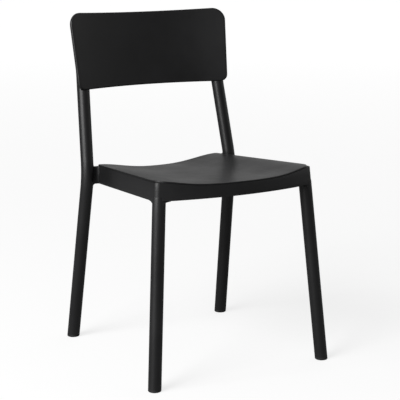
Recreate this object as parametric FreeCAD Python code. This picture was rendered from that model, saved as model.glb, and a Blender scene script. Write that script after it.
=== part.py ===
import FreeCAD, Part
import os
from math import acos, asin, atan2, cos, pi, radians, sin, sqrt, tan

V = FreeCAD.Vector

# Stacking chair. Millimetres, +Z up, the floor at z = 0, the sitter facing -Y,
# the sitter's left hand on the +X side. Every node is one piece of the chair.

# ---------------------------------------------------------------- driving sizes
# seat
SEAT_HEIGHT = 455.0        # seat edge at the front corners
SEAT_FRONT_WIDTH = 399.0   # across the front corner columns, half way up the apron
SEAT_DEPTH = 369.0         # front corner to rear edge
SEAT_TAPER = 5.87          # each side narrows to the rear by this angle, degrees
SEAT_PITCH = 3.81          # the seat drops to the rear by this angle, degrees
FRONT_BOW_RADIUS = 527.0   # plan radius of the bowed front
APRON_HEIGHT = 44.0
SEAT_THICKNESS = 2.8
FRONT_DISH = 13.8          # depth of the hollow across the front edge
REAR_DISH = 15.8
FRONT_DISH_POWER = 1.95    # how flat the middle of the hollow is
REAR_DISH_POWER = 1.31
SEAT_CORNER_RADIUS = 34.0
SEAT_EDGE_INSET = 1.0      # the panel lies this far inside the apron's face
SHADOW_GAP = 0.9           # open line between the panel's edge and the apron
SEAT_RIB_DEPTH = 12.0
SEAT_RIB_THICKNESS = 2.6
SEAT_RIB_PITCH = 56.0
RIB_COLUMNS = (-2, -1, 0, 1, 2)                  # in rib pitches from the middle
RIB_ROWS = (-2.7, -1.7, -0.7, 0.3, 1.3, 2.3)
RIB_SINK = 0.5             # the ribs start this far inside the panel
RIB_SHELF_GAP = 2.0        # ribs to the frame's shelf
RIB_COLUMN_GAP = 1.5       # ribs to the front corner columns
RIB_ZONE_CORNER = 24.0

# seat frame
APRON_WALL = 4.0
STEP_WIDTH = 2.4           # outer part of the wall, lowered by the shadow gap
SHELF_WIDTH = 11.0
SHELF_THICKNESS = 3.5
SHELF_CORNER_RADIUS = 20.0
REAR_CORNER_RADIUS = 9.0
LUG_DEPTH = 16.0           # rear lug that carries the leg, front to back
LUG_FILLET = 9.0
LUG_COLLAR = 6.0           # hollow fillet from the lug's top up the leg
COLLAR_SINK = 1.0          # the fillet starts this far inside the lug
LUG_REACH = 15.6           # apron's face to the rear leg's surface
TAB_LENGTH = 32.0
TAB_WIDTH = 20.0
TAB_THICKNESS = 4.5
TAB_BELOW_RIBS = 3.0
TAB_INSET = 22.0           # apron's face to the seat screw
SEAT_SCREW_SHARES = (0.14, 0.5, 0.84)            # of the seat's depth

# legs
FRONT_LEG_DIAMETER = 29.2
FRONT_SPLAY_OUT = 4.31     # degrees from vertical, seen from the front
FRONT_SPLAY_FORE = 4.55    # seen from the side
REAR_LEG_DIAMETER = 29.6
REAR_SPLAY_OUT = 1.99
REAR_SPLAY_BACK = 9.66
POST_LEAN_IN = 3.54
POST_LEAN_BACK = 12.36
BEND_DROP = 46.0           # bend below the seat edge's front height
BEND_RADIUS = 180.0
LEG_WALL = 3.2
HEAD_FILLET = 8.0          # flare of the front leg under the apron
HEAD_LAP = 8.0             # the leg's head rises this far up the corner
HEAD_STEP = 0.6            # the corner column is this much slimmer than the leg
SPIGOT_DIAMETER = 21.0
SPIGOT_HEADROOM = 19.0     # top of the spigot to the seat's edge
SOLID_BELOW_HEAD = 30.0    # the front leg is solid above this, under the apron
SOLID_BELOW_SEAT = 100.0   # the rear leg is solid from here ...
SOLID_ABOVE_SEAT = 12.0    # ... to here, measured from the front seat edge

SOLID_BELOW_BACK = 20.0    # and again from here up, behind the back panel

# back panel
BACK_HEIGHT = 177.0
BACK_BOTTOM = 151.5        # from the front seat edge up to the panel's lower corners
BACK_TOP_WIDTH = 416.0
BACK_BOTTOM_WIDTH = 398.6
BACK_LEAN = 10.8
BACK_CURVE_RADIUS = 546.0
BACK_THICKNESS = 8.0
BACK_TOP_CORNER = 28.0
BACK_BOTTOM_CORNER = 17.0
BACK_TOP_SAG = 4.6
BACK_PROUD = 1.2           # panel's face in front of the post's foremost line
POST_STOP = 40.0           # post ends this far below the panel's top

# foot glides
GLIDE_HEIGHT = 6.0
GLIDE_PLUG_LENGTH = 18.0
GLIDE_GROOVE = 1.6
GLIDE_GROOVE_DEPTH = 1.2
GLIDE_GROOVE_SHARES = (0.3, 0.55, 0.8)           # of the plug's length

# fasteners
LEG_BOLT = dict(shank=8.0, head=14.0, head_height=4.4, key=5.0)
BACK_BOLT = dict(shank=5.0, head=9.2, head_height=3.0, key=3.0)
SEAT_SCREW = dict(shank=4.0, head=8.0, head_height=2.6, key=2.5)
LEG_BOLT_LENGTH = 24.0
LEG_BOLT_BRIDGE = 6.0      # plastic between the spigot's top and the bolt's head
REAR_BOLT_SHARES = (0.32, 0.73)                  # of the apron's height, from its top
REAR_HEAD_ROOM = 1.0       # round a rear bolt's head
REAR_BOLT_INSET = 10.0     # rear edge of the lug to the bolt's axis
REAR_INSERT_SINK = 4.8     # the insert's mouth lies this deep in the leg
REAR_INSERT_LENGTH = 11.0
LEG_INSERT_DIAMETER = 12.0
LEG_INSERT_LENGTH = 14.0
BACK_INSERT_DIAMETER = 8.0
BACK_INSERT_LENGTH = 9.0
BACK_BOSS_DIAMETER = 13.0
BACK_BOSS_LENGTH = 8.0
BACK_HEAD_RECESS = 6.4
BACK_CAP_THICKNESS = 2.4
BACK_CAP_SINK = 0.6        # the cap's face lies this far inside the post
BACK_CAP_GRIP = 0.1        # the cap is this much wider than the screw's head, each side
BACK_SCREW_HEIGHTS = (35.0, 105.0)   # above the panel's lower corners
SEAT_SCREW_LENGTH = 13.0
SEAT_BOSS_DIAMETER = 10.0

# clearances
FIT_GAP = 0.15             # radial gap of a plug or spigot in its socket
HOLE_GAP = 0.25            # radial gap of a bolt in its hole
SEAT_GAP = 0.2             # a panel in its rebate
FAR = 900.0                # larger than the chair
OVERRUN = 40.0             # a cutting tool runs past its piece by this much
BLOCK_BELOW = 90.0         # the seat's plan block reaches this far below the apron

# ---------------------------------------------------------------- derived places
TAB_DROP = SEAT_RIB_DEPTH + TAB_BELOW_RIBS   # from the panel's underside to the tab
FRONT_R = FRONT_LEG_DIAMETER / 2
REAR_R = REAR_LEG_DIAMETER / 2
TAPER = radians(SEAT_TAPER)
UNDER = SEAT_HEIGHT - APRON_HEIGHT
SPIGOT_LENGTH = APRON_HEIGHT - SPIGOT_HEADROOM
DATUM = SEAT_HEIGHT - APRON_HEIGHT / 2
COLUMN_R = FRONT_R - HEAD_STEP
CORNER_X = SEAT_FRONT_WIDTH / 2 - COLUMN_R
FRONT_Y = -SEAT_DEPTH / 2
CORNER_Y = FRONT_Y + COLUMN_R
REAR_Y = FRONT_Y + SEAT_DEPTH
SIDE_NORMAL = V(cos(TAPER), sin(TAPER), 0)
SIDE_ALONG = V(-sin(TAPER), cos(TAPER), 0)


def front_axis(z):
    """Point of the left front leg's axis at a height."""
    drop = DATUM - z
    return V(CORNER_X + drop * tan(radians(FRONT_SPLAY_OUT)),
             CORNER_Y - drop * tan(radians(FRONT_SPLAY_FORE)), z)


def side_offset(z):
    """Distance of the left side's face from the origin, along its normal."""
    corner = front_axis(z)
    return SIDE_NORMAL.x * corner.x + SIDE_NORMAL.y * corner.y + COLUMN_R


def side_x(y, z=DATUM):
    return (side_offset(z) - SIDE_NORMAL.y * y) / SIDE_NORMAL.x


BEND = V(side_x(REAR_Y - LUG_DEPTH / 2) + LUG_REACH + REAR_R, REAR_Y - REAR_R, SEAT_HEIGHT - BEND_DROP)


def rear_axis(z):
    """Point of the left rear leg's axis, without the rounding of the bend."""
    if z < BEND.z:
        drop = BEND.z - z
        return V(BEND.x + drop * tan(radians(REAR_SPLAY_OUT)),
                 BEND.y + drop * tan(radians(REAR_SPLAY_BACK)), z)
    rise = z - BEND.z
    return V(BEND.x - rise * tan(radians(POST_LEAN_IN)),
             BEND.y + rise * tan(radians(POST_LEAN_BACK)), z)


BACK_LOW = SEAT_HEIGHT + BACK_BOTTOM
BACK_TOP = BACK_LOW + BACK_HEIGHT
POST_END = BACK_TOP - POST_STOP
LEAN = radians(BACK_LEAN)
BACK_AXIS = V(0, sin(LEAN), cos(LEAN))
BACK_NORMAL = V(0, cos(LEAN), -sin(LEAN))


def back_face_y(x, z):
    """Y of the panel's front face."""
    post = rear_axis(BACK_LOW)
    on_arc = sqrt(BACK_CURVE_RADIUS ** 2 - post.x ** 2) - sqrt(BACK_CURVE_RADIUS ** 2 - x ** 2)
    return post.y - REAR_R - BACK_PROUD + (z - BACK_LOW) * tan(LEAN) - on_arc / cos(LEAN)


# whole depth, to set the origin at the middle of the floor plan
FOREMOST = min(front_axis(0).y - FRONT_R,
               CORNER_Y + sqrt((FRONT_BOW_RADIUS - COLUMN_R) ** 2 - CORNER_X ** 2) - FRONT_BOW_RADIUS)
REARMOST = max(rear_axis(0).y + REAR_R,
               back_face_y(0, BACK_TOP - BACK_TOP_SAG) + BACK_THICKNESS / cos(LEAN))
MIDDLE = -(FOREMOST + REARMOST) / 2


# ---------------------------------------------------------------- helpers
def mirrored(shape):
    return shape.mirror(V(0, 0, 0), V(1, 0, 0))


def fused(shapes):
    """One solid from pieces that touch or overlap."""
    return shapes[0].multiFuse(shapes[1:]).removeSplitter()


def group(shapes):
    """Separate solids kept in one node."""
    return Part.makeCompound(shapes)


def rod(start, end, radius):
    axis = end - start
    return Part.makeCylinder(radius, axis.Length, start, axis)


def arc(centre, radius, a0, a1):
    """Arc in plan from angle a0 to a1, in radians, with its two ends."""
    at = [V(centre.x + radius * cos(a), centre.y + radius * sin(a), centre.z)
          for a in (a0, (a0 + a1) / 2, a1)]
    return Part.Arc(*at).toShape(), at[0], at[2]


def outline(z, inset, corner_radius):
    """Plan outline of the seat at a height: bowed front, tapered sides, straight rear."""
    corner = front_axis(z)
    bow_y = corner.y + sqrt((FRONT_BOW_RADIUS - COLUMN_R) ** 2 - corner.x ** 2)
    bow = FRONT_BOW_RADIUS - inset
    side = side_offset(z) - inset
    # front corner arc, tangent to the side and to the bow
    k = side - corner_radius
    b = bow_y * SIDE_ALONG.y
    c = k * k + bow_y ** 2 - 2 * k * bow_y * SIDE_NORMAL.y - (bow - corner_radius) ** 2
    t = b - sqrt(b * b - c)
    front = V(k * SIDE_NORMAL.x + t * SIDE_ALONG.x, k * SIDE_NORMAL.y + t * SIDE_ALONG.y, z)
    # rear corner arc
    rear_r = max(REAR_CORNER_RADIUS - inset, 1.0)
    rear_y = REAR_Y - inset - rear_r
    rear = V((side - rear_r - SIDE_NORMAL.y * rear_y) / SIDE_NORMAL.x, rear_y, z)
    meet = atan2(front.y - bow_y, front.x)
    turn = atan2(SIDE_NORMAL.y, SIDE_NORMAL.x)
    front_left = V(-front.x, front.y, z)
    rear_left = V(-rear.x, rear.y, z)
    arcs = [arc(V(0, bow_y, z), bow, -pi - meet, meet),
            arc(front, corner_radius, meet, turn),
            arc(rear, rear_r, turn, pi / 2),
            arc(rear_left, rear_r, pi / 2, pi - turn),
            arc(front_left, corner_radius, -pi - turn, -pi - meet)]
    bow_edge, corner_a, rear_a, rear_b, corner_b = arcs
    edges = [bow_edge[0], corner_a[0], Part.makeLine(corner_a[2], rear_a[1]), rear_a[0],
             Part.makeLine(rear_a[2], rear_b[1]), rear_b[0],
             Part.makeLine(rear_b[2], corner_b[1]), corner_b[0]]
    return Part.Wire(edges)


def seat_block(inset, corner_radius):
    """Tall block of the seat's plan, leaning with the front legs."""
    low = outline(UNDER - BLOCK_BELOW, inset, corner_radius)
    high = outline(SEAT_HEIGHT + OVERRUN, inset, corner_radius)
    return Part.makeLoft([low, high], True, True)


def dish(across, power):
    return (1 + cos(pi * min(abs(across), 1.0) ** power)) / 2


def seat_z(x, y):
    """Height of the seat's top surface."""
    back = (y - FRONT_Y) / SEAT_DEPTH
    edge = SEAT_HEIGHT - (y - FRONT_Y) * tan(radians(SEAT_PITCH))
    depth = FRONT_DISH + (REAR_DISH - FRONT_DISH) * back
    power = FRONT_DISH_POWER + (REAR_DISH_POWER - FRONT_DISH_POWER) * min(max(back, 0.0), 1.0)
    return edge - depth * dish(x / side_x(y), power)


def seat_slab(drop, thickness, up=False):
    """Slab that follows the seat's surface, its top lowered by drop."""
    half = CORNER_X + 70           # the surface's grid reaches past the seat all round
    front = FOREMOST - 25
    rear = REAR_Y + 45
    columns, rows = 20, 12
    grid = [[V(-half + 2 * half * i / columns, front + (rear - front) * j / rows, 0)
             for j in range(rows + 1)] for i in range(columns + 1)]
    points = [[V(p.x, p.y, seat_z(p.x, p.y) - drop) for p in line] for line in grid]
    surface = Part.BSplineSurface()
    surface.interpolate(points)
    return surface.toShape().extrude(V(0, 0, thickness if up else -thickness))


def below_apron():
    """Everything under the apron's sloping lower edge."""
    box = Part.makeBox(FAR, FAR, FAR, V(-FAR / 2, -FAR / 2, -FAR))
    box.translate(V(0, -FRONT_Y, 0))
    box.rotate(V(0, 0, 0), V(1, 0, 0), -SEAT_PITCH)
    box.translate(V(0, FRONT_Y, UNDER))
    return box


def leg_tube(radius, start, end):
    """Rear leg's line as a solid: straight, rounded bend, straight."""
    a, c = rear_axis(start), rear_axis(end)
    down = (a - BEND).normalize()
    up = (c - BEND).normalize()
    turn = pi - acos(down.dot(up))
    reach = BEND_RADIUS * tan(turn / 2)
    t0 = BEND + down * reach
    t1 = BEND + up * reach
    middle_dir = (down + up).normalize()
    centre = BEND + middle_dir * sqrt(reach ** 2 + BEND_RADIUS ** 2)
    mid = centre - middle_dir * BEND_RADIUS
    path = Part.Wire([Part.makeLine(a, t0), Part.Arc(t0, mid, t1).toShape(), Part.makeLine(t1, c)])
    profile = Part.Wire([Part.makeCircle(radius, a, BEND - a)])
    return path.makePipeShell([profile], True, True)


def screw(size, length, seat, direction):
    """Cap screw: head's underside at seat, shank along direction."""
    along = V(direction).normalize()
    head = rod(seat - along * size["head_height"], seat, size["head"] / 2)
    shank = rod(seat, seat + along * length, size["shank"] / 2)
    key_circle = Part.makePolygon([V(size["key"] / sqrt(3) * cos(pi * i / 3),
                                     size["key"] / sqrt(3) * sin(pi * i / 3), 0) for i in range(7)])
    key = Part.Face(Part.Wire(key_circle)).extrude(V(0, 0, size["head_height"] * 0.6))
    key.Placement = FreeCAD.Placement(seat - along * size["head_height"],
                                      FreeCAD.Rotation(V(0, 0, 1), along))
    return fused([head, shank]).cut(key)


def insert(outer, bore, length, mouth, direction):
    """Threaded bush set into plastic, its mouth face at mouth."""
    along = V(direction).normalize()
    body = rod(mouth, mouth + along * length, outer / 2)
    return body.cut(rod(mouth, mouth + along * length, bore / 2))


def export(name, shape):
    shape = shape.copy()
    shape.translate(V(0, MIDDLE, 0))
    shape.exportStep("parts/" + name + ".step")
    print(name, len(shape.Solids), round(shape.Volume / 1000, 1), shape.isValid())


def export_pair(name, left_shape):
    export(name + "_left", left_shape)
    export(name + "_right", mirrored(left_shape))


# ---------------------------------------------------------------- joints' places
LEG_DIR = (front_axis(0) - front_axis(UNDER)).normalize()      # down the front leg
SPIGOT_TOP = front_axis(UNDER) - LEG_DIR * SPIGOT_LENGTH
LEG_BOLT_SEAT = SPIGOT_TOP - LEG_DIR * LEG_BOLT_BRIDGE
SEAT_SCREW_ROWS = [FRONT_Y + SEAT_DEPTH * share for share in SEAT_SCREW_SHARES]
REAR_BOLT_DROPS = [APRON_HEIGHT * share for share in REAR_BOLT_SHARES]


def apron_under(y):
    return UNDER - (y - FRONT_Y) * tan(radians(SEAT_PITCH))


def rear_bolt_places():
    """Bolt through the lug: head inside the apron, shank towards the leg."""
    y = REAR_Y - REAR_BOLT_INSET
    top = apron_under(y) + APRON_HEIGHT
    return [V(side_x(y) - APRON_WALL, y, top - drop) for drop in REAR_BOLT_DROPS]


def rear_insert_mouth(place):
    """Mouth of the insert in the rear leg, opposite a bolt's place."""
    return V(rear_axis(place.z).x - REAR_R + REAR_INSERT_SINK, place.y, place.z)


def back_bolt_places():
    """Mouth of each panel boss's insert, on the post's line."""
    places = []
    for rise in BACK_SCREW_HEIGHTS:
        z = BACK_LOW + rise
        x = rear_axis(z).x
        places.append(V(x, back_face_y(x, z), z) + BACK_NORMAL * (BACK_THICKNESS + BACK_BOSS_LENGTH))
    return places


def seat_screw_places():
    """Centre of each tab's upper face."""
    places = []
    for y in SEAT_SCREW_ROWS:
        x = side_x(y) - TAB_INSET
        places.append(V(x, y, seat_z(x, y) - SEAT_THICKNESS - TAB_DROP))
    return places


# ---------------------------------------------------------------- pieces
def corner_column(radius):
    """Round column in the left front corner, on the leg's line."""
    return rod(front_axis(UNDER - OVERRUN), front_axis(SEAT_HEIGHT + OVERRUN), radius)


def seat_panel():
    """Dished top of the seat, with ribs and screw bosses under it."""
    plate = seat_slab(0, SEAT_THICKNESS).common(seat_block(SEAT_EDGE_INSET, SEAT_CORNER_RADIUS))
    rib_zone = seat_slab(SEAT_THICKNESS - RIB_SINK, SEAT_RIB_DEPTH + RIB_SINK)
    rib_zone = rib_zone.common(seat_block(APRON_WALL + SHELF_WIDTH + RIB_SHELF_GAP, RIB_ZONE_CORNER))
    column = corner_column(COLUMN_R + RIB_COLUMN_GAP)
    rib_zone = rib_zone.cut(column).cut(mirrored(column))
    half = SEAT_RIB_THICKNESS / 2
    walls = []
    for i in RIB_COLUMNS:
        walls.append(Part.makeBox(2 * half, FAR, FAR, V(i * SEAT_RIB_PITCH - half, -FAR / 2, 0)))
    for j in RIB_ROWS:
        walls.append(Part.makeBox(FAR, 2 * half, FAR, V(-FAR / 2, j * SEAT_RIB_PITCH - half, 0)))
    ribs = rib_zone.common(walls[0].multiFuse(walls[1:]))
    bosses = []
    for place in seat_screw_places():
        boss = rod(place, place + V(0, 0, TAB_DROP + 1), SEAT_BOSS_DIAMETER / 2)
        bosses += [boss, mirrored(boss)]
    panel = fused([plate, ribs] + bosses)
    for place in seat_screw_places():
        hole = rod(place, place + V(0, 0, SEAT_SCREW_LENGTH - TAB_THICKNESS), SEAT_SCREW["shank"] / 2)
        panel = panel.cut(hole).cut(mirrored(hole))
    return panel


def seat_frame():
    """Apron ring with front leg sockets, rear lugs and tabs for the seat screws."""
    ring = seat_block(0, COLUMN_R).cut(seat_block(APRON_WALL, COLUMN_R - APRON_WALL))
    shelf = seat_slab(SEAT_THICKNESS, SHELF_THICKNESS)
    shelf = shelf.common(seat_block(STEP_WIDTH, COLUMN_R - STEP_WIDTH))
    shelf = shelf.cut(seat_block(APRON_WALL + SHELF_WIDTH, SHELF_CORNER_RADIUS))
    above = seat_slab(SEAT_THICKNESS, FAR, up=True)
    above_step = seat_slab(SEAT_THICKNESS + SHADOW_GAP, FAR, up=True)
    above_step = above_step.cut(seat_block(STEP_WIDTH, COLUMN_R - STEP_WIDTH))
    solids = [ring, shelf]
    # front corner columns
    column = corner_column(COLUMN_R)
    solids += [column, mirrored(column)]
    # rear lugs with a concave front
    y1 = REAR_Y
    y0 = REAR_Y - LUG_DEPTH
    x0 = side_x(y0) - APRON_WALL / 2
    xf = side_x(y0)
    x1 = BEND.x
    base = UNDER - 3 * OVERRUN
    lug = Part.makeBox(x1 - x0, y1 - y0, FAR / 2, V(x0, y0, base))
    flare = Part.makeBox(LUG_FILLET + APRON_WALL / 2, LUG_FILLET, FAR / 2, V(x0, y0 - LUG_FILLET, base))
    flare = flare.cut(Part.makeCylinder(LUG_FILLET, FAR, V(xf + LUG_FILLET, y0 - LUG_FILLET, 0)))
    solids += [lug, mirrored(lug), flare, mirrored(flare)]
    # tabs for the seat screws
    for place in seat_screw_places():
        root = place.x + TAB_INSET - APRON_WALL / 2
        tab = Part.makeBox(TAB_LENGTH, TAB_WIDTH, TAB_THICKNESS,
                           V(root - TAB_LENGTH, place.y - TAB_WIDTH / 2, place.z - TAB_THICKNESS))
        solids += [tab, mirrored(tab)]
    frame = fused(solids).cut(below_apron()).cut(above).cut(above_step)
    frame = frame.fuse([lug_collar(), mirrored(lug_collar())])
    # the lugs end against the legs
    leg = leg_tube(REAR_R, UNDER - 3 * OVERRUN, SEAT_HEIGHT + 3 * OVERRUN)
    frame = frame.cut(leg).cut(mirrored(leg))
    # the front legs' heads lap the corners
    head = rod(front_axis(UNDER - OVERRUN), front_axis(UNDER + HEAD_LAP), FRONT_R)
    frame = frame.cut(head).cut(mirrored(head))
    # sockets and bolt holes
    socket_top = SPIGOT_TOP - LEG_DIR * FIT_GAP
    shank_r = LEG_BOLT["shank"] / 2 + HOLE_GAP
    head_r = LEG_BOLT["head"] / 2
    holes = [rod(front_axis(UNDER - OVERRUN), socket_top, SPIGOT_DIAMETER / 2 + FIT_GAP),
             rod(SPIGOT_TOP, LEG_BOLT_SEAT - LEG_DIR, shank_r),
             rod(LEG_BOLT_SEAT, LEG_BOLT_SEAT - LEG_DIR * OVERRUN, head_r + HOLE_GAP)]
    for place in rear_bolt_places():
        holes.append(rod(place, place + V(OVERRUN, 0, 0), shank_r))
        holes.append(rod(place - V(OVERRUN / 2, 0, 0), place, head_r + REAR_HEAD_ROOM))
    for place in seat_screw_places():
        low = place - V(0, 0, TAB_THICKNESS + 1)
        holes.append(rod(low, place + V(0, 0, 1), SEAT_SCREW["shank"] / 2 + HOLE_GAP))
    for hole in holes:
        frame = frame.cut(hole).cut(mirrored(hole))
    return frame


def lug_collar():
    """Hollow fillet between the lug's top and the post's inner side."""
    r = LUG_COLLAR
    top = seat_z(side_x(REAR_Y), REAR_Y - LUG_DEPTH / 2) - SEAT_THICKNESS - SHADOW_GAP
    post_x = rear_axis(top).x - REAR_R
    y0 = REAR_Y - LUG_DEPTH
    block = Part.makeBox(r + REAR_R, LUG_DEPTH, r + COLLAR_SINK, V(post_x - r, y0, top - COLLAR_SINK))
    hollow = Part.makeCylinder(r, LUG_DEPTH + 2, V(post_x - r, y0 - 1, top + r), V(0, 1, 0))
    return block.cut(hollow)


def below_glide():
    """Everything lower than the foot glides' tops."""
    return Part.makeBox(FAR, FAR, FAR, V(-FAR / 2, -FAR / 2, -FAR + GLIDE_HEIGHT))


def gusset(start, along, width):
    """Web under the apron with a hollow quarter-round edge, from the leg outwards."""
    side = V(-along.y, along.x, 0).normalize()
    down = V(0, 0, -1)
    r = HEAD_FILLET
    tip = start + along * (FRONT_R + r)
    root = start + along * FRONT_R + down * r
    centre = tip + down * r
    mid = centre - (down + along).normalize() * r
    lift = V(0, 0, HEAD_LAP)
    edges = [Part.makeLine(start + lift, tip + lift), Part.makeLine(tip + lift, tip),
             Part.Arc(tip, mid, root).toShape(), Part.makeLine(root, start + down * r),
             Part.makeLine(start + down * r, start + lift)]
    web = Part.Face(Part.Wire(edges)).extrude(side * width)
    web.translate(side * (-width / 2))
    return web


def front_leg():
    """Tube with a flared head and a spigot that goes up into the seat frame."""
    head = front_axis(UNDER)
    bow_turn = asin(CORNER_X / FRONT_BOW_RADIUS)
    pitch_drop = V(0, 0, -tan(radians(SEAT_PITCH)))
    web_width = APRON_WALL + 2
    to_web = COLUMN_R - web_width / 2
    side_web = gusset(head + SIDE_NORMAL * to_web, SIDE_ALONG + pitch_drop * SIDE_ALONG.y, web_width)
    bow_along = V(-cos(bow_turn), -sin(bow_turn), 0)
    bow_out = V(sin(bow_turn), -cos(bow_turn), 0)
    bow_web = gusset(head + bow_out * to_web, bow_along - pitch_drop * sin(bow_turn), web_width)
    webs = side_web.fuse(bow_web).common(seat_block(0, COLUMN_R)).common(below_apron())
    body = fused([rod(front_axis(-OVERRUN), front_axis(UNDER + HEAD_LAP), FRONT_R), webs])
    spigot = rod(head + LEG_DIR * FRONT_R, SPIGOT_TOP, SPIGOT_DIAMETER / 2)
    channel = rod(front_axis(-OVERRUN), head + LEG_DIR * SOLID_BELOW_HEAD, FRONT_R - LEG_WALL)
    bolt_end = LEG_BOLT_SEAT + LEG_DIR * (LEG_BOLT_LENGTH + 2)
    bore = rod(bolt_end, SPIGOT_TOP, LEG_BOLT["shank"] / 2 + HOLE_GAP)
    seat = rod(SPIGOT_TOP + LEG_DIR * LEG_INSERT_LENGTH, SPIGOT_TOP, LEG_INSERT_DIAMETER / 2)
    return fused([body, spigot]).cut(channel).cut(below_glide()).cut(bore).cut(seat)


def rear_leg():
    """Leg and back post in one bent tube; solid at the seat and behind the panel."""
    body = leg_tube(REAR_R, -OVERRUN, POST_END - REAR_R)
    top = rear_axis(POST_END - REAR_R)
    body = fused([body, Part.makeSphere(REAR_R, top)])
    channel_r = REAR_R - LEG_WALL
    low = rod(rear_axis(-OVERRUN), rear_axis(SEAT_HEIGHT - SOLID_BELOW_SEAT), channel_r)
    high = rod(rear_axis(SEAT_HEIGHT + SOLID_ABOVE_SEAT), rear_axis(BACK_LOW - SOLID_BELOW_BACK), channel_r)
    body = body.cut(low).cut(high).cut(below_glide()).cut(back_slab(SEAT_GAP, OVERRUN))
    for place in rear_bolt_places():
        end = rear_insert_mouth(place) + V(REAR_INSERT_LENGTH, 0, 0)
        body = body.cut(rod(place, end, LEG_INSERT_DIAMETER / 2))
    for place in back_bolt_places():
        near = place - BACK_NORMAL * (BACK_BOSS_LENGTH + BACK_THICKNESS)
        far = BACK_NORMAL * OVERRUN
        body = body.cut(rod(near, place + BACK_NORMAL * FIT_GAP, BACK_BOSS_DIAMETER / 2 + FIT_GAP))
        body = body.cut(rod(near, place + far, BACK_BOLT["shank"] / 2 + HOLE_GAP))
        recess = back_head_seat(place)
        body = body.cut(rod(recess, recess + far, BACK_BOLT["head"] / 2 + HOLE_GAP))
    return body


def back_head_seat(place):
    """Where a back screw's head bears, inside the post's rear."""
    post = rear_axis(place.z)
    rear = post.y + REAR_R
    depth = (rear - place.y) / BACK_NORMAL.y - BACK_HEAD_RECESS
    return place + BACK_NORMAL * depth


def back_slab(grow=0.0, front=0.0):
    """Curved slab of the back panel; it can be grown, and run on to the front."""
    inner = BACK_CURVE_RADIUS - front
    outer = BACK_CURVE_RADIUS + BACK_THICKNESS + grow
    foot = V(0, back_face_y(0, BACK_LOW), BACK_LOW) - BACK_NORMAL * BACK_CURVE_RADIUS
    start = foot - BACK_AXIS * (FAR / 3)
    ring = Part.makeCylinder(outer, FAR, start, BACK_AXIS)
    ring = ring.cut(Part.makeCylinder(inner, FAR, start, BACK_AXIS))
    return ring.common(back_outline(grow))


def back_outline(grow=0.0):
    """Front view of the back panel, as a deep block."""
    low_z, top_z = BACK_LOW - grow, BACK_TOP + grow
    low_x, top_x = BACK_BOTTOM_WIDTH / 2 + grow, BACK_TOP_WIDTH / 2 + grow
    y = -OVERRUN
    slope = atan2(top_x - low_x, top_z - low_z)

    def corner(x, z, radius, sign):
        """Centre and ends of the arc in a corner; sign is +1 at the top."""
        cz = z - sign * radius
        edge = low_x + (cz - low_z) * tan(slope)
        cx = edge - radius / cos(slope)
        side = V(cx + radius * cos(slope), y, cz - radius * sin(slope))
        flat = V(cx, y, z)
        half = (side - V(cx, y, cz)) + (flat - V(cx, y, cz))
        mid = V(cx, y, cz) + half.normalize() * radius
        return side, mid, flat

    s1, m1, f1 = corner(low_x, low_z, BACK_BOTTOM_CORNER + grow, -1)
    s2, m2, f2 = corner(top_x, top_z, BACK_TOP_CORNER + grow, 1)

    def flip(p):
        return V(-p.x, p.y, p.z)

    sag = V(0, y, top_z - BACK_TOP_SAG)
    edges = [Part.makeLine(flip(f1), f1), Part.Arc(f1, m1, s1).toShape(), Part.makeLine(s1, s2),
             Part.Arc(s2, m2, f2).toShape(), Part.Arc(f2, sag, flip(f2)).toShape(),
             Part.Arc(flip(f2), flip(m2), flip(s2)).toShape(), Part.makeLine(flip(s2), flip(s1)),
             Part.Arc(flip(s1), flip(m1), flip(f1)).toShape()]
    return Part.Face(Part.Wire(edges)).extrude(V(0, FAR, 0))


def back_panel():
    """Curved backrest with four bosses for its inserts."""
    panel = back_slab()
    bosses = []
    for place in back_bolt_places():
        root = place - BACK_NORMAL * (BACK_BOSS_LENGTH + BACK_THICKNESS / 2)
        boss = rod(root, place, BACK_BOSS_DIAMETER / 2)
        bosses += [boss, mirrored(boss)]
    panel = fused([panel] + bosses)
    for place in back_bolt_places():
        hole = rod(place - BACK_NORMAL * (BACK_INSERT_LENGTH + 1.5), place, BACK_BOLT["shank"] / 2)
        seat = rod(place - BACK_NORMAL * BACK_INSERT_LENGTH, place, BACK_INSERT_DIAMETER / 2)
        for cut in (hole, seat):
            panel = panel.cut(cut).cut(mirrored(cut))
    return panel


def glide(axis, radius):
    """Foot plug: a pad as wide as the leg and a ribbed stem inside it."""
    pad = rod(axis(-OVERRUN), axis(OVERRUN), radius)
    slab = Part.makeBox(FAR, FAR, GLIDE_HEIGHT, V(-FAR / 2, -FAR / 2, 0))
    pad = pad.common(slab)
    stem_r = radius - LEG_WALL - FIT_GAP
    stem = rod(axis(GLIDE_HEIGHT / 3), axis(GLIDE_HEIGHT + GLIDE_PLUG_LENGTH), stem_r)
    plug = fused([pad, stem])
    core = rod(axis(0), axis(GLIDE_HEIGHT + GLIDE_PLUG_LENGTH), stem_r - GLIDE_GROOVE_DEPTH)
    for share in GLIDE_GROOVE_SHARES:
        z = GLIDE_HEIGHT + GLIDE_PLUG_LENGTH * share
        plug = plug.cut(rod(axis(z), axis(z + GLIDE_GROOVE), radius).cut(core))
    return plug


# ---------------------------------------------------------------- write the nodes
os.makedirs("parts", exist_ok=True)
export("seat_panel", seat_panel())
export("seat_frame", seat_frame())
export_pair("front_leg", front_leg())
export_pair("rear_leg", rear_leg())
export("back_panel", back_panel())
export_pair("front_glide", glide(front_axis, FRONT_R))
export_pair("rear_glide", glide(rear_axis, REAR_R))

front_bolt = screw(LEG_BOLT, LEG_BOLT_LENGTH, LEG_BOLT_SEAT, LEG_DIR)
export("front_leg_bolts", group([front_bolt, mirrored(front_bolt)]))
front_insert = insert(LEG_INSERT_DIAMETER, LEG_BOLT["shank"], LEG_INSERT_LENGTH, SPIGOT_TOP, LEG_DIR)
export("front_leg_inserts", group([front_insert, mirrored(front_insert)]))

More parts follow.
